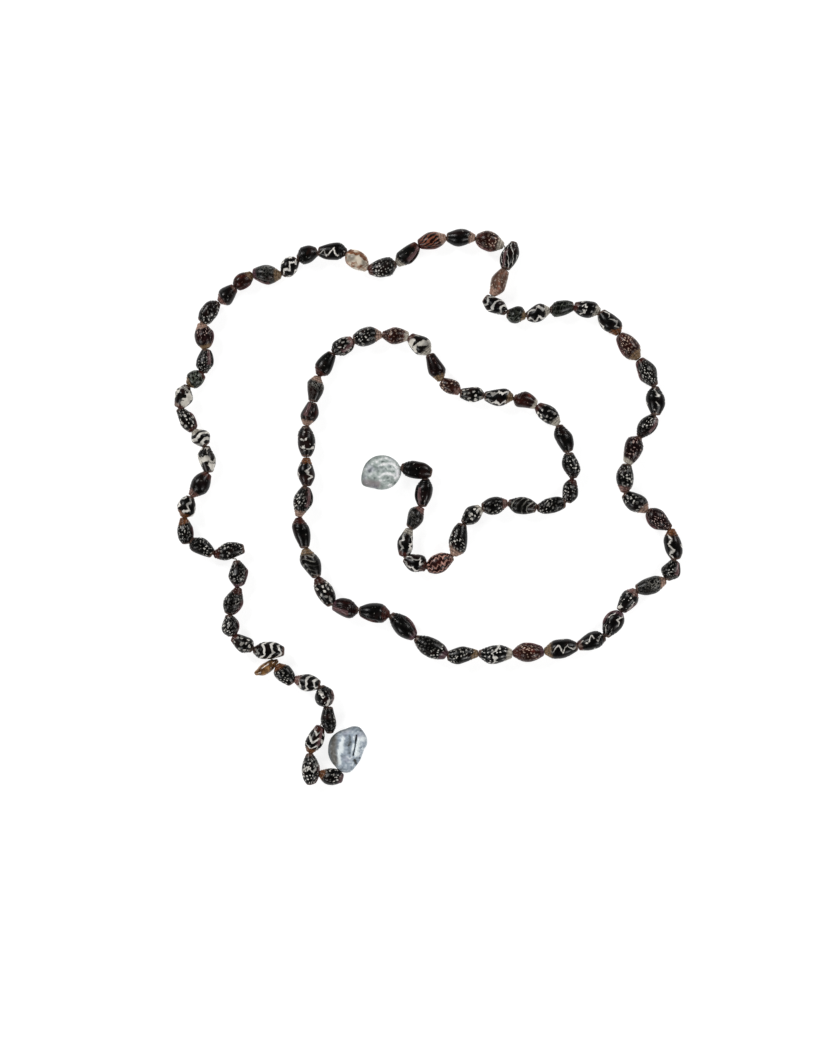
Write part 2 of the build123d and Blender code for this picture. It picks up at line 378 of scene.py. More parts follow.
# %% [markdown]
# ## Marks that follow the shell
# The dots and zigzags of a dove shell grow with it, so they run round the whorls. A pattern on
# plain object coordinates would cut through the shell like wood grain. We give each shell a UV map
# in millimetres instead: along the shell one way, round it the other, with its cut hidden in the
# opening, and set far apart from shell to shell so that no two are alike.

# %% Wrap the UV map and colour the ends
wrap_step = 50.0
spire_reach, faint_spire = (0.68, 0.9), (0.84, 1.0)
front_reach, faint_front = (0.05, 0.26), (0.0, 0.13)
faint_colour = (0.15, 0.09, 0.07, 1.0)
pole_radius = 0.02


def wrap_shell(form, half, place):
    """Lays the UV map round a shell, in millimetres."""
    wrap = form.loops.layers.uv.new("wrap")
    for face in form.faces:
        turns = []
        for loop in face.loops:
            _, y, z = loop.vert.co
            turns.append(atan2(-y, z) % (2 * pi) if hypot(y, z) > pole_radius else None)
        known = [turn for turn in turns if turn is not None]
        if max(known) - min(known) > pi:
            known = [turn + 2 * pi if turn < pi else turn for turn in known]
            turns = [turn + 2 * pi if turn is not None and turn < pi else turn for turn in turns]
        middle = sum(known) / len(known)
        for loop, turn in zip(face.loops, turns):
            round_it = (middle if turn is None else turn) * half
            loop[wrap].uv = (loop.vert.co.x, round_it + wrap_step * place)


def tint_shell(form, length, spire_colour, front_colour, tone):
    """Stores how much of its end colours each vertex has, and the shell's own tone."""
    floats, colours = form.verts.layers.float, form.verts.layers.float_color
    amounts = {name: floats.new(name + "_amount") for name in ("spire", "front", "lip")}
    own_tone = floats.new("tone")
    spire, front = colours.new("spire_colour"), colours.new("front_colour")
    for vertex in form.verts:
        along, y, z = vertex.co
        share, turn = along / length, skewed(atan2(-y, z))
        vertex[amounts["spire"]] = smooth(*(spire_reach if spire_colour else faint_spire), share)
        vertex[amounts["front"]] = 1 - smooth(*(front_reach if front_colour else faint_front), share)
        vertex[amounts["lip"]] = lip_height(share, turn)
        vertex[own_tone] = tone
        vertex[spire] = spire_colour or faint_colour
        vertex[front] = front_colour or faint_colour


print("end colours reach:", {"spire": spire_reach, "front": front_reach})

# %% [markdown]
# ## Shader maths in plain Python
# A material is a graph of nodes, and long graphs are hard to read as code. One small class stands
# for an output socket, so that an expression such as `1 - mask` adds its own Math node, and one
# method adds any other node. Colours go through Mix nodes, because a Math node would turn them grey.


# %% Sockets that can be added up
class Wire:
    """An output socket of a material's graph. Arithmetic on it adds Math nodes."""

    def __init__(self, finish, socket):
        self.finish = finish
        self.socket = socket

    def math(self, operation, *values):
        return self.finish.wire("ShaderNodeMath", {"operation": operation}, dict(enumerate(values)))

    def __add__(self, other):
        return self.math("ADD", self, other)

    def __sub__(self, other):
        return self.math("SUBTRACT", self, other)

    def __rsub__(self, other):
        return self.math("SUBTRACT", other, self)

    def __mul__(self, other):
        return self.math("MULTIPLY", self, other)

    def __truediv__(self, other):
        return self.math("DIVIDE", self, other)

    def at_least(self, other):
        return self.math("MAXIMUM", self, other)

    def at_most(self, other):
        return self.math("MINIMUM", self, other)

    def folded(self):
        """Rises from 0 to 1 and falls back to 0 each time the value grows by 1."""
        return self.math("PINGPONG", self, 0.5) * 2

    __radd__ = __add__
    __rmul__ = __mul__


class Finish:
    """A material with its graph of nodes."""

    def __init__(self, name):
        self.material = bpy.data.materials.new(name)
        self.material.use_nodes = True
        self.tree = self.material.node_tree
        self.tree.nodes.clear()

    def add(self, kind, settings, sockets):
        """Adds a node: its settings first, then the values or links of its sockets."""
        node = self.tree.nodes.new(kind)
        for key, value in settings.items():
            setattr(node, key, value)
        for key, value in sockets.items():
            if isinstance(value, Wire):
                self.tree.links.new(value.socket, node.inputs[key])
            else:
                node.inputs[key].default_value = value
        return node

    def wire(self, kind, settings, sockets, output=0):
        """Adds a node and gives one of its outputs."""
        return Wire(self, self.add(kind, settings, sockets).outputs[output])

    def blend(self, amount, first, second):
        """Mixes two colours."""
        sockets = {0: amount, 6: first, 7: second}
        return self.wire("ShaderNodeMix", {"data_type": "RGBA"}, sockets, 2)

    def ramp(self, value, low, high):
        """Rises smoothly from 0 to 1 as a value goes from low to high."""
        sockets = {"Value": value, "From Min": low, "From Max": high}
        return self.wire("ShaderNodeMapRange", {"interpolation_type": "SMOOTHSTEP"}, sockets)

    def cloud(self, vector, scale, detail=2.0, rough=0.5):
        """Soft noise between 0 and 1."""
        sockets = {"Vector": vector, "Scale": scale, "Detail": detail, "Roughness": rough}
        return self.wire("ShaderNodeTexNoise", {}, sockets)

    def attribute(self, name, output=2):
        """An attribute of the mesh: output 2 is its value and output 0 its colour."""
        return self.wire("ShaderNodeAttribute", {"attribute_name": name}, {}, output)

    def along_and_round(self, place):
        """The two coordinates of a wrapped map: along the shell and round it."""
        parts = self.add("ShaderNodeSeparateXYZ", {}, {0: place})
        return Wire(self, parts.outputs[0]), Wire(self, parts.outputs[1])

    def bump(self, strength, distance, height):
        """Fine relief that only the light feels."""
        sockets = {"Strength": strength, "Distance": distance, "Height": height}
        return self.wire("ShaderNodeBump", {}, sockets)

    def surface(self, colour, roughness, others):
        """Closes the graph with a Principled shader."""
        sockets = {"Base Color": colour, "Roughness": roughness, **others}
        shader = self.wire("ShaderNodeBsdfPrincipled", {}, sockets)
        self.add("ShaderNodeOutputMaterial", {}, {"Surface": shader})
        return self.material


def shade(*screen):
    """A colour for a shader from its red, green and blue on screen, each between 0 and 255."""
    return (*(((c / 255 + 0.055) / 1.055) ** 2.4 if c > 10 else c / 255 / 12.92 for c in screen), 1.0)


def scaled(colour, share, lift=0.0):
    """A shader's colour made darker or brighter, with a little grey added."""
    return (*(c * share + lift for c in colour[:3]), 1.0)


print("near black:", [round(c, 4) for c in shade(22, 19, 18)])

# %% [markdown]
# ## Patterns of dove shells
# The shells on the string are one kind, but no two are alike: plain black ones, fine dots in rows,
# big dots, a grey net, bold or thin zigzags, slanted stripes, lines along the shell, white ones with
# black blotches, and red-brown or cream ones. Each family is one rule on the wrapped map. A rule
# gives a mask between 0 and 1, for where the pale marks lie, and takes small shifts from noise so
# that nothing looks printed.


# %% Rules for the marks
row_squeeze, row_turn, scatter = 0.82, 0.35, 0.6
hook_wave = 5.5
ragged, soft = 2.6, 0.09


def dots(finish, place, cell, size):
    """Round dots in slanting rows, each of its own size. Cell and radius are in millimetres."""
    slant = {"Vector": place, "Rotation": (0, 0, row_turn), "Scale": (row_squeeze / cell, 1 / cell, 1)}
    rowed = finish.wire("ShaderNodeMapping", {}, slant)
    sockets = {"Vector": rowed, "Scale": 1.0, "Randomness": scatter}
    spots = finish.add("ShaderNodeTexVoronoi", {"voronoi_dimensions": "2D"}, sockets)
    distance = Wire(finish, spots.outputs["Distance"])
    own = finish.wire("ShaderNodeSeparateColor", {}, {0: Wire(finish, spots.outputs["Color"])})
    reach = own * (size * 0.5 / cell) + size * 0.65 / cell
    return 1 - finish.ramp(distance - reach, -0.05, 0.05)


def lines(finish, place, value, thickness):
    """Bands where a phase passes whole numbers, now thicker and now thinner until they break."""
    edge = (finish.cloud(place, 0.45, 2.0) - 0.5) * (thickness * ragged) + thickness
    return 1 - finish.ramp(value.folded(), edge - soft, edge + soft)


def zigzags(finish, place, step, swing, wave, thickness):
    """Zigzag lines that run along the shell, side by side round it."""
    along, round_it = finish.along_and_round(place)
    return lines(finish, place, round_it / step + (along / wave).folded() * (swing / step), thickness)


def stripes(finish, place, step, hook, thickness):
    """Slanting hooked stripes across the shell."""
    along, round_it = finish.along_and_round(place)
    tooth = (round_it / hook_wave).folded()
    return lines(finish, place, along / step + tooth * (hook / step), thickness)


def slants(finish, place, step, lean, thickness):
    """Lines that run along the shell and lean round it."""
    along, round_it = finish.along_and_round(place)
    return lines(finish, place, round_it / step + along * (lean / step), thickness)


def net(finish, place, cell, thickness):
    """A net of thin lines."""
    settings = {"voronoi_dimensions": "2D", "feature": "DISTANCE_TO_EDGE"}
    edge = finish.wire("ShaderNodeTexVoronoi", settings, {"Vector": place, "Scale": 1 / cell})
    return 1 - finish.ramp(edge, thickness * 0.3 / cell, thickness / cell)


def shaken(finish, place, amount, scale=0.5):
    """The wrapped map with small wandering shifts."""
    sockets = {"Vector": place, "Scale": scale, "Detail": 2.0}
    drift = finish.wire("ShaderNodeTexNoise", {}, sockets, 1)
    centred = finish.wire("ShaderNodeVectorMath", {"operation": "SUBTRACT"}, {0: drift, 1: (0.5, 0.5, 0.5)})
    moved = finish.wire("ShaderNodeVectorMath", {"operation": "SCALE"}, {0: centred, "Scale": amount})
    return finish.wire("ShaderNodeVectorMath", {"operation": "ADD"}, {0: place, 1: moved})


print("dots on 2 mm cells lie", round(2 / row_squeeze, 2), "mm apart along a row")

# %% Masks of the families
# Families with dots alone. Columns: cell and dot in millimetres, how strong the dots are outside the
# patches where they gather, and how strong at most.
dot_rules = {
    "k": (2.0, 0.16, 0.0, 0.8), "M": (2.0, 0.16, 0.0, 0.8), "P": (2.0, 0.16, 0.0, 0.5),
    "d": (1.2, 0.3, 0.14, 1.0), "D": (1.75, 0.49, 0.4, 1.0), "m": (1.3, 0.28, 0.2, 1.0),
    "r": (1.25, 0.31, 0.3, 1.0), "b": (1.25, 0.31, 0.3, 1.0),
}
# Families with lines alone. Columns: their rule and its measures in millimetres.
line_rules = {
    "s": (stripes, 3.3, 2.2, 0.3), "z": (zigzags, 3.5, 1.5, 3.6, 0.27),
    "R": (zigzags, 2.0, 1.1, 2.0, 0.3), "T": (slants, 1.9, 0.55, 0.42),
}


def family_marks(finish, family, place):
    """The pale marks of one family of shells."""
    shifted = shaken(finish, place, 2.2, 0.45)
    patches = finish.ramp(finish.cloud(place, 0.16), 0.4, 0.6)
    if family in dot_rules:
        cell, size, thin, strength = dot_rules[family]
        return dots(finish, shifted, cell, size) * (patches * (1 - thin) + thin) * strength
    if family in line_rules:
        rule, *measures = line_rules[family]
        return rule(finish, shifted, *measures)
    if family in "ng":
        wires = net(finish, shaken(finish, place, 2.4, 0.9), cell=1.25, thickness=0.2)
        return wires * (patches * 0.75 + 0.25)
    if family == "a":
        return stripes(finish, shifted, step=2.2, hook=1.8, thickness=0.26) * (patches * 0.9 + 0.1)
    if family == "B":
        return stripes(finish, shaken(finish, place, 1.2, 0.45), step=2.7, hook=1.1, thickness=0.42)
    if family == "e":
        hook = stripes(finish, shifted, step=8.5, hook=2.0, thickness=0.09)
        return hook.at_least(dots(finish, shifted, cell=1.45, size=0.36))
    if family == "v":
        thin = zigzags(finish, shifted, step=4.8, swing=2.0, wave=4.4, thickness=0.15)
        return thin * finish.ramp(finish.cloud(place, 0.2), 0.38, 0.46)
    if family == "L":
        thin = slants(finish, shifted, step=2.5, lean=0.6, thickness=0.15)
        return thin * finish.ramp(finish.cloud(place, 0.2), 0.36, 0.44)
    if family == "c":
        band = slants(finish, shifted, step=5.5, lean=0.35, thickness=0.48)
        return band.at_least(finish.ramp(finish.cloud(shifted, 0.3, 3.0), 0.5, 0.62))
    if family == "f":
        flecks = finish.ramp(finish.cloud(shifted, 0.34, 2.0), 0.59, 0.62)
        return flecks.at_least(dots(finish, shifted, cell=1.9, size=0.26) * patches)
    return 1 - finish.ramp(finish.cloud(shifted, 0.3, 3.0), 0.47, 0.52)


print("families with dots or lines alone:", len(dot_rules) + len(line_rules))

# %% Materials of the families
# Columns: name, screen values of the ground, screen values of the marks.
family_looks = {
    "k": ("plain_black", (13, 12, 11), (176, 174, 166)),
    "d": ("fine_dots", (12, 11, 10), (208, 205, 197)),
    "D": ("big_dots", (13, 11, 10), (232, 228, 219)),
    "n": ("grey_net", (15, 15, 14), (124, 122, 116)),
    "g": ("green_net", (13, 15, 12), (124, 130, 118)),
    "a": ("grey_arches", (18, 17, 15), (150, 148, 140)),
    "f": ("white_flecks", (14, 12, 12), (228, 224, 216)),
    "e": ("dots_and_hook", (12, 11, 11), (228, 225, 218)),
    "z": ("bold_zigzags", (13, 11, 11), (234, 230, 223)),
    "v": ("thin_zigzags", (14, 12, 12), (232, 228, 220)),
    "s": ("slanted_stripes", (13, 11, 11), (232, 229, 222)),
    "B": ("bold_stripes", (13, 11, 11), (234, 230, 222)),
    "w": ("white_blotches", (16, 13, 12), (222, 217, 207)),
    "r": ("red_dots", (62, 29, 22), (214, 190, 172)),
    "b": ("tan_spots", (126, 94, 80), (216, 202, 186)),
    "L": ("long_lines", (13, 11, 11), (230, 227, 220)),
    "P": ("plain_red_brown", (56, 25, 19), (190, 158, 144)),
    "T": ("brown_stripes", (34, 16, 13), (140, 88, 68)),
    "R": ("red_zigzags", (56, 24, 20), (206, 160, 146)),
    "c": ("cream", (168, 116, 82), (230, 218, 200)),
    "m": ("maroon_dots", (36, 13, 15), (196, 172, 164)),
    "M": ("plain_maroon", (32, 14, 13), (170, 140, 130)),
}
lip_colour, chalky, red_flush = shade(138, 104, 106), shade(196, 184, 170), shade(48, 24, 21)
warm_shares, warm_lifts = (4, 2.2, 1.8), (0.01, 0.003, 0.002)
darkest_ground = 0.01


def shell_ground(finish, place, ground, stain):
    """The dark or coloured ground of a shell, with its stains, its flush and patches of painted sheen."""
    tone = finish.attribute("tone")
    warm = (*(c * share + lift for c, share, lift in zip(ground, warm_shares, warm_lifts)), 1.0)
    base = finish.blend(finish.ramp(stain, 0.35, 0.7), scaled(ground, 0.4), ground)
    base = finish.blend(finish.ramp(stain, 0.56, 0.76) * tone, base, warm)
    if ground[0] < darkest_ground:
        flush = finish.ramp(finish.cloud(place, 0.13), 0.52, 0.66) * (tone * 0.9)
        base = finish.blend(flush, base, red_flush)
    # Painted sheen: paler patches of the ground at random places.
    painted_sheen = finish.ramp(finish.cloud(shaken(finish, place, 1.4), 0.26, 2.0), 0.54, 0.74) * 0.5
    return finish.blend(painted_sheen, base, scaled(ground, 1.6, 0.012))


def worn_ends(finish, place, colour, base, stain, stretched):
    """Lays the worn colours of the spire, the front end and the lip over a shell."""
    frayed = finish.cloud(place, 0.6, 3.0) * 1.3 - 0.65
    scratches = finish.cloud(stretched, 1.3, 3.0, 0.6)
    for end in ("spire", "front", "lip"):
        amount = finish.attribute(end + "_amount")
        worn = finish.ramp(amount + frayed * (amount * 4).at_most(1.0), 0.15, 0.85)
        tint = lip_colour if end == "lip" else finish.attribute(end + "_colour", 0)
        mottled = finish.blend(finish.ramp(scratches, 0.35, 0.75) * 0.75, tint, base)
        mottled = finish.blend(finish.ramp(stain, 0.55, 0.8) * 0.5, mottled, chalky)
        colour = finish.blend(worn * (0.7 if end == "lip" else 0.92), colour, mottled)
    return colour


def shell_finish(family):
    """The polished surface of one family of dove shells."""
    name, *screen = family_looks[family]
    ground, mark = (shade(*values) for values in screen)
    finish = Finish("dove_shell_" + name)
    place = finish.wire("ShaderNodeUVMap", {"uv_map": "wrap"}, {})
    stain = finish.cloud(shaken(finish, place, 2.0), 0.3, 3.0)
    base = shell_ground(finish, place, ground, stain)
    fade = finish.ramp(finish.cloud(place, 0.19), 0.36, 0.58)
    mark = finish.blend(fade, scaled(mark, 0.38), mark)
    colour = finish.blend(family_marks(finish, family, place).at_most(1.0), base, mark)
    along, round_it = finish.along_and_round(shaken(finish, place, 0.5))
    stretched = finish.wire("ShaderNodeCombineXYZ", {}, {0: along * 0.25, 1: round_it})
    colour = worn_ends(finish, place, colour, base, stain, stretched)
    # Painted shade along the suture grooves of the spire.
    colour = finish.blend(finish.attribute("suture") * 0.75, colour, scaled(ground, 0.4))
    growth = finish.cloud(stretched, 2.4, 3.0, 0.6)
    bump = finish.bump(0.25, 0.00008, growth)
    scuffs = finish.cloud(place, 1.6, 4.0, 0.7)
    return finish.surface(colour, scuffs * 0.22 + 0.18, {"Normal": bump, "IOR": 1.33})


finishes = {family: shell_finish(family) for family in family_looks}
print("families of shells:", len(finishes))

# %% [markdown]
# ## The string, shell by shell
# The chart below gives the look of each shell in the order of the string: the family of its marks,
# the colour of its spire and the colour of its front end. Five neighbours make one piece, which
# keeps the parts list short.

# %% The look of each shell
look_chart = """
    kkk kkk npk zwr zrk Rkk dqk Dkw dpk akk
    dkk drk dkk kkk Dwr Pkw ztk Dkk rpk Mtk
    wwr rkw dqk Dkp krk nqk Mqk fkk vok dqk
    krk atk Drk Mkm krk kkm dkm dtk ekw rrm
    vtk vkr vkm fpk nqk dkk vok mkk dqk dpk
    mkw dkk vkk dkr rtk vok fwr gkk zwk gtk
    skk bqk Lkk rwk kqk Tqr kwr dkr cwk vkk
    kkk zkk ntm Ptk kpr dkk mqt dkk gtr wkr
    Dkr Bwk wkk kpr zok dok dkk drk dkm drk
    dkk Dkr skk dok spk fkk dkk sor ekk dom
"""
end_colours = {
    "k": None, "t": shade(150, 124, 94), "w": shade(206, 198, 184), "o": shade(134, 86, 50),
    "p": shade(150, 112, 104), "r": shade(86, 44, 36), "m": shade(104, 76, 84),
    "q": shade(196, 162, 144),
}
looks = look_chart.split()
print("looks in the chart:", len(looks))

# %% Build the pieces
shells_a_piece = 5
belly = 1.6 * mm


def place_of(shell):
    """The matrix that carries a shell from its own axes, in millimetres, to its place in metres."""
    along = shell["along"]
    side = Vector((0, 0, 1)).cross(along)
    axes = Matrix((along, side, Vector((0, 0, 1)))).transposed().to_4x4()
    turned = axes @ Matrix.Rotation(shell["turn"], 4, "X")
    return Matrix.Scale(mm, 4) @ Matrix.Translation(shell["front"]) @ turned


def press_up(form):
    """Presses the underside of a shell up, so that nothing of it lies below the table."""
    lowest = min(vertex.co.z for vertex in form.verts)
    if lowest < 0:
        for vertex in form.verts:
            if vertex.co.z < belly:
                vertex.co.z = belly - (belly - vertex.co.z) * belly / (belly - lowest)


def mesh_of(form, name):
    """Turns a bmesh into a smooth-shaded mesh and frees it."""
    for face in form.faces:
        face.smooth = True
    mesh = bpy.data.meshes.new(name)
    form.to_mesh(mesh)
    form.free()
    return mesh


def grown_shell(shell, number, caps, build, look):
    """One finished shell in its place, as a mesh."""
    length, half = shell["length"] + 2 * end_growth, shell["girth"] / 2
    form = spun_shell(length, half, caps, build)
    wrap_shell(form, half, number)
    tone = 0.5 + 0.5 * noise.noise(Vector((number * 1.37, 2.2, 0.4)))
    tint_shell(form, length, end_colours[look[1]], end_colours[look[2]], tone)
    sculpt_shell(form, length, build, number)
    bmesh.ops.translate(form, verts=form.verts[:], vec=(-end_growth, 0, 0))
    bmesh.ops.transform(form, matrix=place_of(shell), verts=form.verts[:])
    press_up(form)
    return mesh_of(form, "shell")


def placed(name, data):
    """Puts an object in the scene, at the origin."""
    holder = bpy.data.objects.new(name, data)
    bpy.context.scene.collection.objects.link(holder)
    return holder


def new_piece(name, mesh, materials):
    """Puts a mesh in the scene with its materials."""
    piece = placed(name, mesh)
    for material in materials:
        mesh.materials.append(material)
    return piece


def rounded(piece):
    """Finishes a piece with a Subdivision Surface modifier."""
    modifier = piece.modifiers.new("rounding", "SUBSURF")
    modifier.levels = modifier.render_levels = 1


def joined_shells(name, group, first, families):
    """Neighbouring shells joined in one mesh, each with the material of its family."""
    whole = bmesh.new()
    for number, shell in enumerate(group, first + 1):
        look = looks[number - 1]
        one = grown_shell(shell, number, shell_caps, build_of(number), look)
        start = len(whole.faces)
        whole.from_mesh(one)
        whole.faces.ensure_lookup_table()
        for face in whole.faces[start:]:
            face.material_index = families.index(look[0])
        bpy.data.meshes.remove(one)
    return mesh_of(whole, name)


for first in range(0, len(string), shells_a_piece):
    group = string[first:first + shells_a_piece]
    families = sorted({look[0] for look in looks[first:first + shells_a_piece]})
    name = f"shells_{first + 1:03d}_{first + len(group):03d}"
    mesh = joined_shells(name, group, first, families)
    piece = new_piece(name, mesh, [finishes[family] for family in families])
    rounded(piece)
    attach(piece, "root")
    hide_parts(group[0]["node"])
print("pieces of five shells:", len(string) // shells_a_piece)

# %% [markdown]
# ## The golden shell
# One slim golden-brown shell is strung by its narrow end and hangs outward. It is the same turned
# form with ends and flanks of its own, which make it a slim oval, and it has soft bands of honey and
# brown instead of marks.


# %% A golden finish
def golden_finish():
    """Honey and brown bands on a polished shell."""
    finish = Finish("golden_shell")
    place = finish.wire("ShaderNodeUVMap", {"uv_map": "wrap"}, {})
    shifted = shaken(finish, place, 1.6)
    bands = finish.cloud(shifted, 0.55, 3.0)
    colour = finish.blend(finish.ramp(bands, 0.38, 0.66), shade(86, 58, 32), shade(156, 116, 70))
    colour = finish.blend(finish.ramp(bands, 0.6, 0.8), colour, shade(210, 180, 140))
    scuffs = finish.cloud(place, 1.4, 3.0)
    others = {"Normal": finish.bump(0.2, 0.00008, bands), "Coat Weight": 0.5, "Coat Roughness": 0.1}
    return finish.surface(colour, scuffs * 0.2 + 0.2, others)


side_number = 101
slim_caps = ((1.5, 1.15), (1.5, 1.1))
slim_flanks = {"widest": 0.52, "roundness": 0.2, "front_swell": 2.2, "spire_swell": 2.0}
slim_build = {**build_of(side_number), **slim_flanks, "bow": 0.3, "corner": 0.0}
slim_mesh = grown_shell(side_shell, side_number, slim_caps, slim_build, "kkk")
piece = new_piece("golden_side_shell", slim_mesh, [golden_finish()])
rounded(piece)
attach(piece, "root")
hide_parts("side_shell")
print("golden shell vertices:", len(piece.data.vertices))

# %% [markdown]
# ## The pearls
# A baroque pearl is a lump of nacre with folds, dents and ridges, never a ball. We start from an
# icosphere, push its outline to the reach that the pearl has in each direction, and fit it to the
# box of its solid, so it lies at the end of the string just where the frame says. Then we raise
# soft ridges and press dents along chosen strokes, as with a modelling tool in wax.

# %% Outlines
# Each entry: a turn in degrees, anticlockwise from where the string holds the pearl, and its reach.
inner_outline = [
    (0, 0.98), (20, 0.94), (44, 0.9), (74, 0.86), (117, 0.87), (144, 0.9), (164, 0.94), (178, 1.02),
    (189, 1.09), (196, 1.13), (204, 1.08), (215, 0.96), (231, 0.87), (245, 0.87), (265, 0.87),
    (294, 0.9), (322, 0.94), (344, 1.0),
]
outer_outline = [
    (0, 0.99), (20, 0.98), (40, 0.79), (60, 0.71), (85, 0.66), (105, 0.7), (120, 0.87),
    (135, 0.96), (150, 1.01), (167, 1.09), (181, 1.03), (200, 0.88), (225, 0.87), (250, 0.88),
    (280, 0.85), (310, 0.87), (337, 0.89),
]


def reach_at(outline, turn):
    """Reach of an outline at a turn in degrees."""
    turns = [t for t, _ in outline] + [outline[0][0] + 360]
    reaches = [r for _, r in outline] + [outline[0][1]]
    return float(np.interp(turn % 360, turns, reaches))


print("reach of the inner pearl's corner:", reach_at(inner_outline, 196))

# %% Strokes of the modelling tool
def stroke_at(points, width, x, y):
    """How strongly a stroke through some points is felt at a place seen from above."""
    here, nearest = Vector((x, y)), 9.0
    for start, end in zip(points, points[1:] or points):
        start, end = Vector(start), Vector(end)
        run = end - start
        share = (here - start).dot(run) / run.length_squared if run.length_squared else 0.0
        nearest = min(nearest, (here - start - run * min(max(share, 0.0), 1.0)).length)
    return hump(nearest, width)


# Each stroke: its points in millimetres from the middle, its width, and its rise or, if negative, dent.
inner_strokes = [
    ([(-3.6, 3.4), (-2.2, 4.6), (-0.2, 5.6), (1.8, 6.1)], 0.65, 0.4), ([(2.2, 5.9), (4.6, 5.0)], 0.5, 0.25),
    ([(-1.0, 2.5), (1.4, 3.5), (4.3, 3.6), (6.6, 2.2)], 0.6, 0.5), ([(0.4, 4.5), (3.8, 4.6)], 0.35, -0.25),
    ([(-0.8, -1.8), (0.7, -0.9), (2.9, -0.4), (5.1, -1.0), (6.0, -2.4)], 0.55, 0.55),
    ([(1.9, 1.6), (2.7, 0.6), (5.1, 0.3)], 0.28, -0.3), ([(3.8, 2.6)], 0.45, -0.45),
    ([(5.5, 2.1)], 0.3, -0.25),
    ([(1.6, -2.3), (4.4, -2.4)], 0.95, -0.3), ([(7.0, 1.8), (7.1, -1.2)], 0.8, 0.3),
    ([(6.0, 1.4), (6.2, -1.0)], 1.6, 0.3), ([(1.2, 1.8), (3.6, 1.6)], 1.2, 0.12),
    ([(2.6, -3.6), (4.6, -4.0)], 0.4, -0.2), ([(1.4, -5.0), (4.0, -5.4)], 0.65, 0.35),
    ([(-4.85, 0.7)], 0.7, -0.8), ([(-4.9, -1.4), (-3.3, 0.3)], 0.5, 0.3), ([(-6.5, -1.1)], 0.4, 0.25),
    ([(-2.8, -5.6), (-1.7, -6.1)], 0.55, -0.4), ([(-2.6, 2.6), (-1.2, 1.2), (-1.6, -0.6)], 0.5, -0.1),
    ([(-5.6, 2.8), (-4.6, 2.2)], 0.35, 0.18), ([(-0.6, -3.2), (1.4, -3.4)], 0.35, 0.2),
]
outer_strokes = [
    ([(-1.6, 5.2), (-2.8, 2.3), (-3.5, -1.9), (-3.3, -6.2)], 0.85, 0.85),
    ([(-1.8, 3.0), (-2.3, -0.4)], 0.9, 0.3),
    ([(3.8, 6.0), (3.6, 4.2)], 0.36, -1.1), ([(3.7, 5.0), (3.3, 1.6), (2.5, -2.0)], 0.24, -1.0),
    ([(2.9, 5.6), (2.45, 2.0), (1.7, -1.9)], 0.38, 0.45), ([(4.6, 5.2), (4.1, 1.4), (3.2, -2.4)], 0.5, 0.55),
    ([(5.9, 4.4), (5.7, 1.3), (5.1, -1.4)], 1.7, 0.5), ([(5.0, 1.1), (5.6, 1.1)], 0.35, -0.5),
    ([(0.0, -2.6), (0.9, -3.6), (2.2, -2.7)], 0.35, 0.3),
    ([(3.0, -4.2), (3.8, -6.0)], 0.6, -0.55), ([(2.3, -5.4), (2.0, -6.6)], 0.4, 0.35),
    ([(-0.5, -6.2), (-0.6, -7.4)], 0.4, 0.28), ([(6.2, 5.6), (6.6, 3.8)], 0.5, 0.35),
    ([(0.9, 5.8), (1.3, 4.2)], 0.5, -0.35), ([(5.0, -3.4)], 0.5, -0.35),
    ([(0.8, 3.4), (0.2, -0.6)], 0.9, -0.12),
    ([(-5.0, 3.6), (-5.6, 1.0)], 0.45, 0.2), ([(1.6, 7.6), (4.4, 7.8)], 0.45, 0.22),
]
inner_flank = ([(-6.8, -4.4), (-4.4, -4.6), (-1.6, -5.0)], 1.7)
outer_flank = ([(-5.4, 4.6), (-6.2, 0.6), (-5.2, -5.4)], 1.7)
print("strokes:", len(inner_strokes), "and", len(outer_strokes))

# %% Shape a pearl
crown = 2.5
spread_turns = (-4, 0, 4)
felt_rise, lump_rise, sag = 0.8, 0.35, 0.06


def pearl_body(outline, heading):
    """A rounded lump with the outline of a pearl as it is seen from above."""
    form = bmesh.new()
    bmesh.ops.create_icosphere(form, subdivisions=6, radius=1.0)
    facing = radians(heading + 180)
    for vertex in form.verts:
        x, y, z = vertex.co
        turn = (atan2(y, x) - facing) * 180 / pi
        round_off = (1 - abs(z) ** crown) ** (1 / crown)
        plan = hypot(x, y)
        reach = sum(reach_at(outline, turn + k) for k in spread_turns) / len(spread_turns)
        grow = reach * round_off / plan if plan > 1e-6 else 0.0
        vertex.co = (x * grow, y * grow, z)
    return form


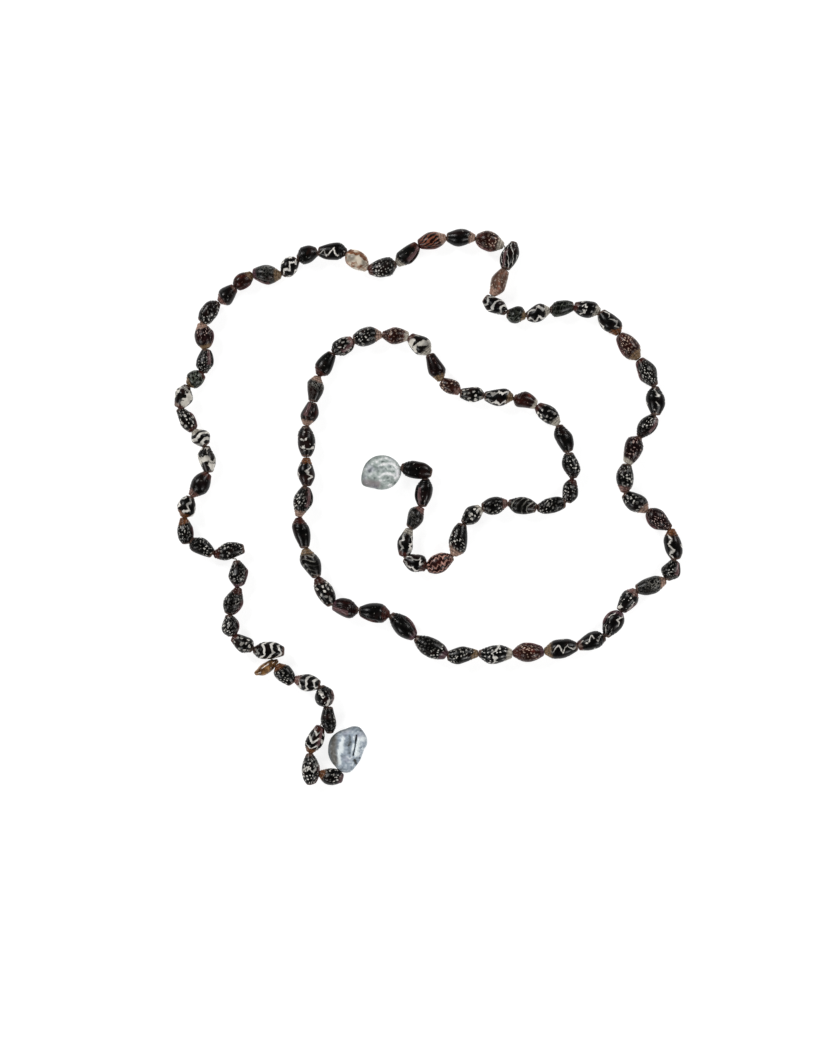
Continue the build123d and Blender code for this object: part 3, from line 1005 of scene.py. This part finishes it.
def pearl_mesh(node, outline, heading, strokes, flank, dark_turn):
    """A baroque pearl fitted to the box of its solid, with its relief stored for the finish."""
    form = pearl_body(outline, heading)
    low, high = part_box(node)
    size, middle = (high - low) / mm, (high + low) / 2 / mm
    xs, ys = [v.co.x for v in form.verts], [v.co.y for v in form.verts]
    left, width, near, depth = min(xs), max(xs) - min(xs), min(ys), max(ys) - min(ys)
    relief, warm, rim_shade = (form.verts.layers.float.new(name) for name in ("relief", "warm", "rim_shade"))
    for vertex in form.verts:
        x = ((vertex.co.x - left) / width - 0.5) * size.x
        y = ((vertex.co.y - near) / depth - 0.5) * size.y
        z = vertex.co.z * size.z / 2
        up = smooth(-0.2, 0.5, vertex.co.z)
        uneven = 0.85 + 0.8 * noise.noise(Vector((x * 0.5, y * 0.5, 3.1)))
        felt = sum(
            rise * stroke_at(points, wide, x, y) * (uneven if rise > 0 else 1.0)
            for points, wide, rise in strokes
        )
        lump = noise.noise(Vector((x * 0.3, y * 0.3, z * 0.4)))
        fine = noise.noise(Vector((x * 0.9, y * 1.2, z * 0.9 + 5)))
        wrinkle = 0.5 - abs(noise.noise(Vector((x * 0.55 + 9, y * 0.8, z * 0.5)))) * 2
        detail = 0.16 * fine + 0.16 * wrinkle
        vertex[relief] = felt * up + 0.22 * lump + detail
        vertex[warm] = stroke_at(*flank, x, y)
        # Painted shade on the rim, strongest on the side towards the dark turn.
        aside = 0.5 + 0.5 * cos(atan2(y, x) - radians(dark_turn))
        vertex[rim_shade] = smooth(0.8, 0.3, abs(vertex.co.z)) * (0.1 + 0.9 * aside)
        z = z * (1 - sag * up) + up * (felt * felt_rise + lump_rise * lump + detail)
        vertex.co = (x, y, min(z, size.z / 2))
    bmesh.ops.translate(form, verts=form.verts[:], vec=middle)
    bmesh.ops.scale(form, verts=form.verts[:], vec=(mm, mm, mm))
    return mesh_of(form, node)


print("turns that soften an outline:", spread_turns)

# %% Nacre
# Screen values of each nacre: painted shade in its folds and on its rim, middle, painted highlight on its
# ridges, and low on its flank.
nacre_shades = {
    "grey_nacre": ((88, 98, 94), (180, 190, 186), (255, 255, 255), (140, 130, 132)),
    "silver_nacre": ((70, 72, 66), (168, 180, 192), (246, 253, 255), (100, 92, 78)),
}


def nacre(name):
    """Nacre: a painted highlight on its ridges, painted shade in its folds and on its rim, darker low on its
    sides, with a clear wet gloss.
    """
    painted_shade, middle, pale, flank = (shade(*screen) for screen in nacre_shades[name])
    finish = Finish(name)
    place = finish.wire("ShaderNodeTexCoord", {}, {}, 3)
    clouds, fine = finish.cloud(place, 300.0, 3.0), finish.cloud(place, 1100.0, 3.0)
    height = finish.attribute("relief") + (clouds - 0.5) * 0.8 + (fine - 0.5) * 0.5
    # Painted shade where the relief sinks, and a painted highlight where it rises.
    colour = finish.blend(finish.ramp(height, -0.5, 0.08), painted_shade, middle)
    colour = finish.blend(finish.ramp(height, -0.05, 0.56), colour, pale)
    side = finish.ramp(finish.attribute("warm") + (clouds - 0.5) * 0.7, 0.05, 0.95)
    colour = finish.blend(side * 0.8, colour, flank)
    blush = finish.ramp(finish.cloud(place, 210.0, 2.0), 0.5, 0.7) * 0.35
    colour = finish.blend(blush, colour, shade(176, 172, 190))
    # Painted shade along the rim.
    colour = finish.blend(finish.attribute("rim_shade") * 0.8, colour, painted_shade)
    bump = finish.bump(0.3, 0.0002, clouds + fine * 0.4)
    others = {"Normal": bump, "IOR": 1.3, "Coat Weight": 0.15, "Coat Roughness": 0.22}
    return finish.surface(colour, fine * 0.2 + 0.3, others)


# %% Both pearls
# Columns: outline, heading of the string into the pearl, strokes, flank, turn of the painted shade on
# the rim, slot and nacre. Turns are in degrees.
pearls = {
    "inner_pearl": (inner_outline, 196.0, inner_strokes, inner_flank, 140.0, "grey_pearl", "grey_nacre"),
    "outer_pearl": (outer_outline, 75.0, outer_strokes, outer_flank, 150.0, "silver_pearl", "silver_nacre"),
}
for node, (outline, heading, strokes, flank, dark_turn, slot, material) in pearls.items():
    mesh = pearl_mesh(node, outline, heading, strokes, flank, dark_turn)
    piece = new_piece("baroque_" + node, mesh, [nacre(material)])
    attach(piece, "root")
    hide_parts(node)
    print(piece.name, "faces:", len(piece.data.polygons))

# %% [markdown]
# ## The thread
# Only short bits of the thread show, between shells where the string turns. The frame's own solid
# has the right path and thickness, so it stays and gets a better surface of pale twisted plies.


# %% A twisted thread
def thread_finish():
    """Pale twisted thread."""
    finish = Finish("stringing_thread")
    place = finish.wire("ShaderNodeTexCoord", {}, {}, 3)
    sockets = {"Vector": place, "Scale": 900.0, "Distortion": 3.0}
    plies = finish.wire("ShaderNodeTexWave", {"bands_direction": "DIAGONAL"}, sockets, 1)
    fuzz = finish.cloud(place, 2500.0, 3.0)
    colour = finish.blend(plies, shade(150, 142, 128), shade(206, 200, 186))
    bump = finish.bump(0.6, 0.0001, plies + fuzz * 0.4)
    return finish.surface(colour, fuzz * 0.2 + 0.6, {"Normal": bump})


thread = frame["nodes"]["thread"]
thread.data.materials.clear()
thread.data.materials.append(thread_finish())
print("thread faces:", len(thread.data.polygons))

# %% [markdown]
# ## Floor, light and camera
# The necklace was photographed from straight above on plain white, in soft light from all sides.
# A large white floor and four small soft lamps round the string give the same fine highlights. The
# world is nearly dark for the shells, so that their black stays black, and bright for the camera.

# %% Floor
floor_reach = 12.0
floor_form = bmesh.new()
bmesh.ops.create_grid(floor_form, x_segments=1, y_segments=1, size=floor_reach)
paper = Finish("white_paper")
grain = paper.cloud(paper.wire("ShaderNodeTexCoord", {}, {}, 3), 300.0, 3.0)
white = paper.blend(grain, shade(150, 150, 150), shade(156, 156, 156))
floor_material = paper.surface(white, 0.9, {"Emission Color": (1, 1, 1, 1), "Emission Strength": 0.85})
floor = new_piece("floor", mesh_of(floor_form, "floor"), [floor_material])
print("floor reaches", floor_reach, "m each way")

# %% Lamps
# Square soft lamps that face the necklace. Columns: place in metres and power in watts.
lamp_size = 0.5
lamps = {
    "upper_left": ((-1.0, 0.9, 1.0), 15.0), "upper_right": ((1.1, 0.85, 0.85), 10.0),
    "lower_right": ((1.0, -1.1, 0.9), 10.0), "lower_left": ((-1.1, -1.0, 0.85), 10.0),
}
for name, (place, power) in lamps.items():
    light = bpy.data.lights.new(name, "AREA")
    light.size, light.energy = lamp_size, power
    lamp = placed(name, light)
    lamp.location = place
    lamp.rotation_euler = (-Vector(place)).to_track_quat("-Z", "Y").to_euler()
print("lamps:", ", ".join(lamps))

# %% Sky
shell_light, camera_light = 0.04, 1.0
world = bpy.data.worlds.new("studio")
world.use_nodes = True
sky = world.node_tree
seen = sky.nodes.new("ShaderNodeLightPath").outputs["Is Camera Ray"]
strength = sky.nodes.new("ShaderNodeMapRange")
strength.inputs["To Min"].default_value = shell_light
strength.inputs["To Max"].default_value = camera_light
sky.links.new(seen, strength.inputs["Value"])
sky.nodes["Background"].inputs["Color"].default_value = (1, 1, 1, 1)
sky.links.new(strength.outputs[0], sky.nodes["Background"].inputs["Strength"])
bpy.context.scene.world = world
bpy.context.scene.view_settings.view_transform = "Standard"
bpy.context.scene.view_settings.gamma = 0.9
print("light on the shells from the sky:", shell_light)

# %% Camera
camera_height, look_height = 0.9, 4 * mm
picture_height = 0.441
sensor = 36.0
picture_middle = (-3.31 * mm, -7.76 * mm)
camera = placed("camera", bpy.data.cameras.new("camera"))
camera.location = (*picture_middle, camera_height + look_height)
camera.data.sensor_width = sensor
camera.data.clip_start = 0.01
camera.data.lens = sensor * camera_height / picture_height
bpy.context.scene.camera = camera
print("lens:", round(camera.data.lens, 2))
